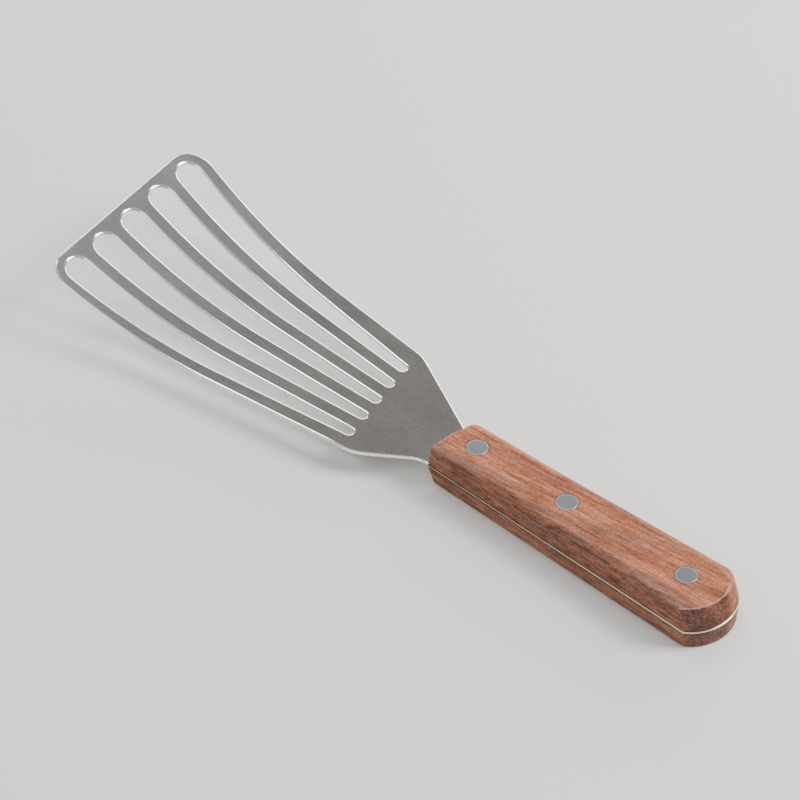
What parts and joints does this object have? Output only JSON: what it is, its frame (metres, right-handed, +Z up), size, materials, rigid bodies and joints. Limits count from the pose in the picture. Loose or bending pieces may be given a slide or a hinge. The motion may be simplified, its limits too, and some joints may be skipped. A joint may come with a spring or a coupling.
{
  "type": "fish spatula",
  "caption": "Thin, flexible slotted steel turner with a slanted, upturned tip and a riveted wooden full-tang handle.",
  "frame": {"origin": "the middle of the handle's flat underside, half-way between the butt and the handle's front end", "axes": "+X from the handle to the blade's tip, +Z up through the handle's thickness to the side that the tip curls towards, +Y to the left of a cook who holds the handle and looks at the tip"},
  "size_m": [0.2923, 0.083, 0.0302],
  "materials": {
    "blade_steel": "satin brushed stainless steel with bright sheared edges",
    "handle_wood": "oiled open-grained reddish-brown wood, satin, worn paler along the edges",
    "rivet_steel": "flush-ground satin steel"
  },
  "bodies": {
    "root": {"blade": "blade_steel", "top_scale": "handle_wood", "bottom_scale": "handle_wood", "front_rivet_sleeve": "rivet_steel", "front_rivet_stud": "rivet_steel", "middle_rivet_sleeve": "rivet_steel", "middle_rivet_stud": "rivet_steel", "rear_rivet_sleeve": "rivet_steel", "rear_rivet_stud": "rivet_steel"}
  },
  "joints": []
}
